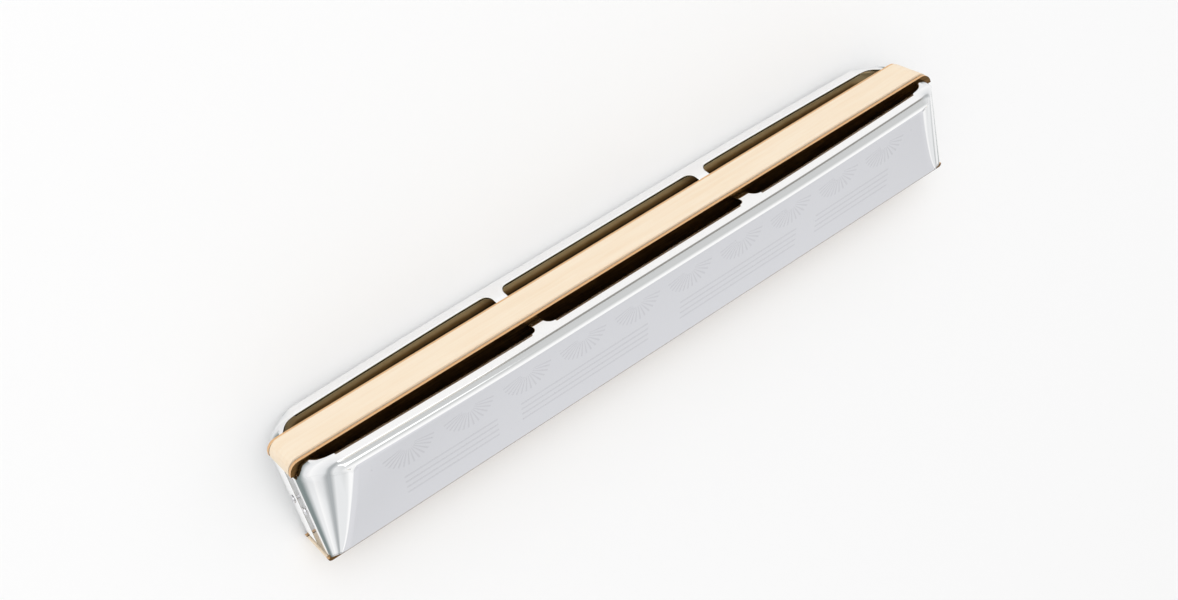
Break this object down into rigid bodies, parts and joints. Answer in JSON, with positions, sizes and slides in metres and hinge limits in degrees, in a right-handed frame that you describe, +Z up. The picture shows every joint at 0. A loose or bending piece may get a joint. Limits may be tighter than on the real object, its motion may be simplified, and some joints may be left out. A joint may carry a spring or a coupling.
{
  "type": "tremolo harmonica",
  "caption": "Tremolo harmonica: a wooden comb between two brass reed plates with free reeds, under two bright wrap-around covers with sound windows at the back.",
  "frame": {"origin": "centre of the footprint, on the surface that the lower cover's flat rests on", "axes": "+X along the comb from the low notes to the high ones, -Y towards the mouth side, +Z up; the comb leans back so that the lower cover's flat is level"},
  "size_m": [0.175, 0.0304, 0.0272],
  "materials": {
    "pale_wood": "pale close-grained hardwood, sanded and sealed",
    "plate_brass": "rolled brass sheet, satin",
    "reed_brass": "spring brass, filed bright",
    "chrome_sheet": "bright plated sheet",
    "pin_steel": "small round pin heads"
  },
  "bodies": {
    "body": {"comb": "pale_wood", "reed_plate_top": "plate_brass", "reed_plate_bottom": "plate_brass", "cover_top": "chrome_sheet", "cover_bottom": "chrome_sheet", "cover_pin_top_left": "pin_steel", "cover_pin_top_right": "pin_steel", "cover_pin_bottom_left": "pin_steel", "cover_pin_bottom_right": "pin_steel"},
    "reed_top_01": {"reed_top_01": "reed_brass"},
    "reed_bottom_01": {"reed_bottom_01": "reed_brass"},
    "reed_top_02": {"reed_top_02": "reed_brass"},
    "reed_bottom_02": {"reed_bottom_02": "reed_brass"},
    "reed_top_03": {"reed_top_03": "reed_brass"},
    "reed_bottom_03": {"reed_bottom_03": "reed_brass"},
    "reed_top_04": {"reed_top_04": "reed_brass"},
    "reed_bottom_04": {"reed_bottom_04": "reed_brass"},
    "reed_top_05": {"reed_top_05": "reed_brass"},
    "reed_bottom_05": {"reed_bottom_05": "reed_brass"},
    "reed_top_06": {"reed_top_06": "reed_brass"},
    "reed_bottom_06": {"reed_bottom_06": "reed_brass"},
    "reed_top_07": {"reed_top_07": "reed_brass"},
    "reed_bottom_07": {"reed_bottom_07": "reed_brass"},
    "reed_top_08": {"reed_top_08": "reed_brass"},
    "reed_bottom_08": {"reed_bottom_08": "reed_brass"},
    "reed_top_09": {"reed_top_09": "reed_brass"},
    "reed_bottom_09": {"reed_bottom_09": "reed_brass"},
    "reed_top_10": {"reed_top_10": "reed_brass"},
    "reed_bottom_10": {"reed_bottom_10": "reed_brass"},
    "reed_top_11": {"reed_top_11": "reed_brass"},
    "reed_bottom_11": {"reed_bottom_11": "reed_brass"},
    "reed_top_12": {"reed_top_12": "reed_brass"},
    "reed_bottom_12": {"reed_bottom_12": "reed_brass"},
    "reed_top_13": {"reed_top_13": "reed_brass"},
    "reed_bottom_13": {"reed_bottom_13": "reed_brass"},
    "reed_top_14": {"reed_top_14": "reed_brass"},
    "reed_bottom_14": {"reed_bottom_14": "reed_brass"},
    "reed_top_15": {"reed_top_15": "reed_brass"},
    "reed_bottom_15": {"reed_bottom_15": "reed_brass"},
    "reed_top_16": {"reed_top_16": "reed_brass"},
    "reed_bottom_16": {"reed_bottom_16": "reed_brass"},
    "reed_top_17": {"reed_top_17": "reed_brass"},
    "reed_bottom_17": {"reed_bottom_17": "reed_brass"},
    "reed_top_18": {"reed_top_18": "reed_brass"},
    "reed_bottom_18": {"reed_bottom_18": "reed_brass"},
    "reed_top_19": {"reed_top_19": "reed_brass"},
    "reed_bottom_19": {"reed_bottom_19": "reed_brass"},
    "reed_top_20": {"reed_top_20": "reed_brass"},
    "reed_bottom_20": {"reed_bottom_20": "reed_brass"},
    "reed_top_21": {"reed_top_21": "reed_brass"},
    "reed_bottom_21": {"reed_bottom_21": "reed_brass"},
    "reed_top_22": {"reed_top_22": "reed_brass"},
    "reed_bottom_22": {"reed_bottom_22": "reed_brass"},
    "reed_top_23": {"reed_top_23": "reed_brass"},
    "reed_bottom_23": {"reed_bottom_23": "reed_brass"},
    "reed_top_24": {"reed_top_24": "reed_brass"},
    "reed_bottom_24": {"reed_bottom_24": "reed_brass"}
  },
  "joints": [
    {"name": "reed_top_01_swing", "type": "hinge", "parent": "body", "child": "reed_top_01", "pos_m": [-0.07935, 0.00473, 0.01635], "axis": [1, 0, 0], "range_deg": [-2.5, 2.5], "stiffness_Nm_per_rad": 0.0005131},
    {"name": "reed_bottom_01_swing", "type": "hinge", "parent": "body", "child": "reed_bottom_01", "pos_m": [-0.07935, 0.00741, 0.00849], "axis": [1, 0, 0], "range_deg": [-2.5, 2.5], "stiffness_Nm_per_rad": 0.0005131},
    {"name": "reed_top_02_swing", "type": "hinge", "parent": "body", "child": "reed_top_02", "pos_m": [-0.07245, -0.00954, 0.01329], "axis": [1, 0, 0], "range_deg": [-2.5, 2.5], "stiffness_Nm_per_rad": 0.0004731},
    {"name": "reed_bottom_02_swing", "type": "hinge", "parent": "body", "child": "reed_bottom_02", "pos_m": [-0.07245, -0.00578, 0.00221], "axis": [1, 0, 0], "range_deg": [-2.5, 2.5], "stiffness_Nm_per_rad": 0.0004731},
    {"name": "reed_top_03_swing", "type": "hinge", "parent": "body", "child": "reed_top_03", "pos_m": [-0.06555, 0.00405, 0.01612], "axis": [1, 0, 0], "range_deg": [-2.5, 2.5], "stiffness_Nm_per_rad": 0.0004402},
    {"name": "reed_bottom_03_swing", "type": "hinge", "parent": "body", "child": "reed_bottom_03", "pos_m": [-0.06555, 0.00672, 0.00826], "axis": [1, 0, 0], "range_deg": [-2.5, 2.5], "stiffness_Nm_per_rad": 0.0004402},
    {"name": "reed_top_04_swing", "type": "hinge", "parent": "body", "child": "reed_top_04", "pos_m": [-0.05865, -0.00954, 0.01329], "axis": [1, 0, 0], "range_deg": [-2.5, 2.5], "stiffness_Nm_per_rad": 0.0004105},
    {"name": "reed_bottom_04_swing", "type": "hinge", "parent": "body", "child": "reed_bottom_04", "pos_m": [-0.05865, -0.00578, 0.00221], "axis": [1, 0, 0], "range_deg": [-2.5, 2.5], "stiffness_Nm_per_rad": 0.0004105},
    {"name": "reed_top_05_swing", "type": "hinge", "parent": "body", "child": "reed_top_05", "pos_m": [-0.05175, 0.00346, 0.01591], "axis": [1, 0, 0], "range_deg": [-2.5, 2.5], "stiffness_Nm_per_rad": 0.000383},
    {"name": "reed_bottom_05_swing", "type": "hinge", "parent": "body", "child": "reed_bottom_05", "pos_m": [-0.05175, 0.00613, 0.00806], "axis": [1, 0, 0], "range_deg": [-2.5, 2.5], "stiffness_Nm_per_rad": 0.000383},
    {"name": "reed_top_06_swing", "type": "hinge", "parent": "body", "child": "reed_top_06", "pos_m": [-0.04485, -0.00954, 0.01329], "axis": [1, 0, 0], "range_deg": [-2.5, 2.5], "stiffness_Nm_per_rad": 0.0003574},
    {"name": "reed_bottom_06_swing", "type": "hinge", "parent": "body", "child": "reed_bottom_06", "pos_m": [-0.04485, -0.00578, 0.00221], "axis": [1, 0, 0], "range_deg": [-2.5, 2.5], "stiffness_Nm_per_rad": 0.0003574},
    {"name": "reed_top_07_swing", "type": "hinge", "parent": "body", "child": "reed_top_07", "pos_m": [-0.03795, 0.0029, 0.01572], "axis": [1, 0, 0], "range_deg": [-2.5, 2.5], "stiffness_Nm_per_rad": 0.0003335},
    {"name": "reed_bottom_07_swing", "type": "hinge", "parent": "body", "child": "reed_bottom_07", "pos_m": [-0.03795, 0.00557, 0.00787], "axis": [1, 0, 0], "range_deg": [-2.5, 2.5], "stiffness_Nm_per_rad": 0.0003335},
    {"name": "reed_top_08_swing", "type": "hinge", "parent": "body", "child": "reed_top_08", "pos_m": [-0.03105, -0.00954, 0.01329], "axis": [1, 0, 0], "range_deg": [-2.5, 2.5], "stiffness_Nm_per_rad": 0.000311},
    {"name": "reed_bottom_08_swing", "type": "hinge", "parent": "body", "child": "reed_bottom_08", "pos_m": [-0.03105, -0.00578, 0.00221], "axis": [1, 0, 0], "range_deg": [-2.5, 2.5], "stiffness_Nm_per_rad": 0.000311},
    {"name": "reed_top_09_swing", "type": "hinge", "parent": "body", "child": "reed_top_09", "pos_m": [-0.02415, 0.00235, 0.01554], "axis": [1, 0, 0], "range_deg": [-2.5, 2.5], "stiffness_Nm_per_rad": 0.0002899},
    {"name": "reed_bottom_09_swing", "type": "hinge", "parent": "body", "child": "reed_bottom_09", "pos_m": [-0.02415, 0.00503, 0.00768], "axis": [1, 0, 0], "range_deg": [-2.5, 2.5], "stiffness_Nm_per_rad": 0.0002899},
    {"name": "reed_top_10_swing", "type": "hinge", "parent": "body", "child": "reed_top_10", "pos_m": [-0.01725, -0.00954, 0.01329], "axis": [1, 0, 0], "range_deg": [-2.5, 2.5], "stiffness_Nm_per_rad": 0.00027},
    {"name": "reed_bottom_10_swing", "type": "hinge", "parent": "body", "child": "reed_bottom_10", "pos_m": [-0.01725, -0.00578, 0.00221], "axis": [1, 0, 0], "range_deg": [-2.5, 2.5], "stiffness_Nm_per_rad": 0.00027},
    {"name": "reed_top_11_swing", "type": "hinge", "parent": "body", "child": "reed_top_11", "pos_m": [-0.01035, 0.00183, 0.01536], "axis": [1, 0, 0], "range_deg": [-2.5, 2.5], "stiffness_Nm_per_rad": 0.0002512},
    {"name": "reed_bottom_11_swing", "type": "hinge", "parent": "body", "child": "reed_bottom_11", "pos_m": [-0.01035, 0.0045, 0.0075], "axis": [1, 0, 0], "range_deg": [-2.5, 2.5], "stiffness_Nm_per_rad": 0.0002512},
    {"name": "reed_top_12_swing", "type": "hinge", "parent": "body", "child": "reed_top_12", "pos_m": [-0.00345, -0.00954, 0.01329], "axis": [1, 0, 0], "range_deg": [-2.5, 2.5], "stiffness_Nm_per_rad": 0.0002335},
    {"name": "reed_bottom_12_swing", "type": "hinge", "parent": "body", "child": "reed_bottom_12", "pos_m": [-0.00345, -0.00578, 0.00221], "axis": [1, 0, 0], "range_deg": [-2.5, 2.5], "stiffness_Nm_per_rad": 0.0002335},
    {"name": "reed_top_13_swing", "type": "hinge", "parent": "body", "child": "reed_top_13", "pos_m": [0.00345, 0.00131, 0.01518], "axis": [1, 0, 0], "range_deg": [-2.5, 2.5], "stiffness_Nm_per_rad": 0.0002168},
    {"name": "reed_bottom_13_swing", "type": "hinge", "parent": "body", "child": "reed_bottom_13", "pos_m": [0.00345, 0.00398, 0.00732], "axis": [1, 0, 0], "range_deg": [-2.5, 2.5], "stiffness_Nm_per_rad": 0.0002168},
    {"name": "reed_top_14_swing", "type": "hinge", "parent": "body", "child": "reed_top_14", "pos_m": [0.01035, -0.00954, 0.01329], "axis": [1, 0, 0], "range_deg": [-2.5, 2.5], "stiffness_Nm_per_rad": 0.000201},
    {"name": "reed_bottom_14_swing", "type": "hinge", "parent": "body", "child": "reed_bottom_14", "pos_m": [0.01035, -0.00578, 0.00221], "axis": [1, 0, 0], "range_deg": [-2.5, 2.5], "stiffness_Nm_per_rad": 0.000201},
    {"name": "reed_top_15_swing", "type": "hinge", "parent": "body", "child": "reed_top_15", "pos_m": [0.01725, 0.0008, 0.01501], "axis": [1, 0, 0], "range_deg": [-2.5, 2.5], "stiffness_Nm_per_rad": 0.0001862},
    {"name": "reed_bottom_15_swing", "type": "hinge", "parent": "body", "child": "reed_bottom_15", "pos_m": [0.01725, 0.00347, 0.00715], "axis": [1, 0, 0], "range_deg": [-2.5, 2.5], "stiffness_Nm_per_rad": 0.0001862},
    {"name": "reed_top_16_swing", "type": "hinge", "parent": "body", "child": "reed_top_16", "pos_m": [0.02415, -0.00954, 0.01329], "axis": [1, 0, 0], "range_deg": [-2.5, 2.5], "stiffness_Nm_per_rad": 0.0001722},
    {"name": "reed_bottom_16_swing", "type": "hinge", "parent": "body", "child": "reed_bottom_16", "pos_m": [0.02415, -0.00578, 0.00221], "axis": [1, 0, 0], "range_deg": [-2.5, 2.5], "stiffness_Nm_per_rad": 0.0001722},
    {"name": "reed_top_17_swing", "type": "hinge", "parent": "body", "child": "reed_top_17", "pos_m": [0.03105, 0.00029, 0.01484], "axis": [1, 0, 0], "range_deg": [-2.5, 2.5], "stiffness_Nm_per_rad": 0.0001589},
    {"name": "reed_bottom_17_swing", "type": "hinge", "parent": "body", "child": "reed_bottom_17", "pos_m": [0.03105, 0.00297, 0.00698], "axis": [1, 0, 0], "range_deg": [-2.5, 2.5], "stiffness_Nm_per_rad": 0.0001589},
    {"name": "reed_top_18_swing", "type": "hinge", "parent": "body", "child": "reed_top_18", "pos_m": [0.03795, -0.00954, 0.01329], "axis": [1, 0, 0], "range_deg": [-2.5, 2.5], "stiffness_Nm_per_rad": 0.0001465},
    {"name": "reed_bottom_18_swing", "type": "hinge", "parent": "body", "child": "reed_bottom_18", "pos_m": [0.03795, -0.00578, 0.00221], "axis": [1, 0, 0], "range_deg": [-2.5, 2.5], "stiffness_Nm_per_rad": 0.0001465},
    {"name": "reed_top_19_swing", "type": "hinge", "parent": "body", "child": "reed_top_19", "pos_m": [0.04485, -0.0002, 0.01467], "axis": [1, 0, 0], "range_deg": [-2.5, 2.5], "stiffness_Nm_per_rad": 0.0001348},
    {"name": "reed_bottom_19_swing", "type": "hinge", "parent": "body", "child": "reed_bottom_19", "pos_m": [0.04485, 0.00247, 0.00681], "axis": [1, 0, 0], "range_deg": [-2.5, 2.5], "stiffness_Nm_per_rad": 0.0001348},
    {"name": "reed_top_20_swing", "type": "hinge", "parent": "body", "child": "reed_top_20", "pos_m": [0.05175, -0.00954, 0.01329], "axis": [1, 0, 0], "range_deg": [-2.5, 2.5], "stiffness_Nm_per_rad": 0.0001238},
    {"name": "reed_bottom_20_swing", "type": "hinge", "parent": "body", "child": "reed_bottom_20", "pos_m": [0.05175, -0.00578, 0.00221], "axis": [1, 0, 0], "range_deg": [-2.5, 2.5], "stiffness_Nm_per_rad": 0.0001238},
    {"name": "reed_top_21_swing", "type": "hinge", "parent": "body", "child": "reed_top_21", "pos_m": [0.05865, -0.00069, 0.0145], "axis": [1, 0, 0], "range_deg": [-2.5, 2.5], "stiffness_Nm_per_rad": 0.0001135},
    {"name": "reed_bottom_21_swing", "type": "hinge", "parent": "body", "child": "reed_bottom_21", "pos_m": [0.05865, 0.00198, 0.00664], "axis": [1, 0, 0], "range_deg": [-2.5, 2.5], "stiffness_Nm_per_rad": 0.0001135},
    {"name": "reed_top_22_swing", "type": "hinge", "parent": "body", "child": "reed_top_22", "pos_m": [0.06555, -0.00954, 0.01329], "axis": [1, 0, 0], "range_deg": [-2.5, 2.5], "stiffness_Nm_per_rad": 0.0001038},
    {"name": "reed_bottom_22_swing", "type": "hinge", "parent": "body", "child": "reed_bottom_22", "pos_m": [0.06555, -0.00578, 0.00221], "axis": [1, 0, 0], "range_deg": [-2.5, 2.5], "stiffness_Nm_per_rad": 0.0001038},
    {"name": "reed_top_23_swing", "type": "hinge", "parent": "body", "child": "reed_top_23", "pos_m": [0.07245, -0.00118, 0.01434], "axis": [1, 0, 0], "range_deg": [-2.5, 2.5], "stiffness_Nm_per_rad": 0.0000947},
    {"name": "reed_bottom_23_swing", "type": "hinge", "parent": "body", "child": "reed_bottom_23", "pos_m": [0.07245, 0.00149, 0.00648], "axis": [1, 0, 0], "range_deg": [-2.5, 2.5], "stiffness_Nm_per_rad": 0.0000947},
    {"name": "reed_top_24_swing", "type": "hinge", "parent": "body", "child": "reed_top_24", "pos_m": [0.07935, -0.00954, 0.01329], "axis": [1, 0, 0], "range_deg": [-2.5, 2.5], "stiffness_Nm_per_rad": 0.0000862},
    {"name": "reed_bottom_24_swing", "type": "hinge", "parent": "body", "child": "reed_bottom_24", "pos_m": [0.07935, -0.00578, 0.00221], "axis": [1, 0, 0], "range_deg": [-2.5, 2.5], "stiffness_Nm_per_rad": 0.0000862}
  ],
  "couplings": [
    {"joint": "reed_bottom_01_swing", "follows": "reed_top_01_swing", "ratio": -1},
    {"joint": "reed_bottom_02_swing", "follows": "reed_top_02_swing", "ratio": -1},
    {"joint": "reed_bottom_03_swing", "follows": "reed_top_03_swing", "ratio": -1},
    {"joint": "reed_bottom_04_swing", "follows": "reed_top_04_swing", "ratio": -1},
    {"joint": "reed_bottom_05_swing", "follows": "reed_top_05_swing", "ratio": -1},
    {"joint": "reed_bottom_06_swing", "follows": "reed_top_06_swing", "ratio": -1},
    {"joint": "reed_bottom_07_swing", "follows": "reed_top_07_swing", "ratio": -1},
    {"joint": "reed_bottom_08_swing", "follows": "reed_top_08_swing", "ratio": -1},
    {"joint": "reed_bottom_09_swing", "follows": "reed_top_09_swing", "ratio": -1},
    {"joint": "reed_bottom_10_swing", "follows": "reed_top_10_swing", "ratio": -1},
    {"joint": "reed_bottom_11_swing", "follows": "reed_top_11_swing", "ratio": -1},
    {"joint": "reed_bottom_12_swing", "follows": "reed_top_12_swing", "ratio": -1},
    {"joint": "reed_bottom_13_swing", "follows": "reed_top_13_swing", "ratio": -1},
    {"joint": "reed_bottom_14_swing", "follows": "reed_top_14_swing", "ratio": -1},
    {"joint": "reed_bottom_15_swing", "follows": "reed_top_15_swing", "ratio": -1},
    {"joint": "reed_bottom_16_swing", "follows": "reed_top_16_swing", "ratio": -1},
    {"joint": "reed_bottom_17_swing", "follows": "reed_top_17_swing", "ratio": -1},
    {"joint": "reed_bottom_18_swing", "follows": "reed_top_18_swing", "ratio": -1},
    {"joint": "reed_bottom_19_swing", "follows": "reed_top_19_swing", "ratio": -1},
    {"joint": "reed_bottom_20_swing", "follows": "reed_top_20_swing", "ratio": -1},
    {"joint": "reed_bottom_21_swing", "follows": "reed_top_21_swing", "ratio": -1},
    {"joint": "reed_bottom_22_swing", "follows": "reed_top_22_swing", "ratio": -1},
    {"joint": "reed_bottom_23_swing", "follows": "reed_top_23_swing", "ratio": -1},
    {"joint": "reed_bottom_24_swing", "follows": "reed_top_24_swing", "ratio": -1}
  ]
}
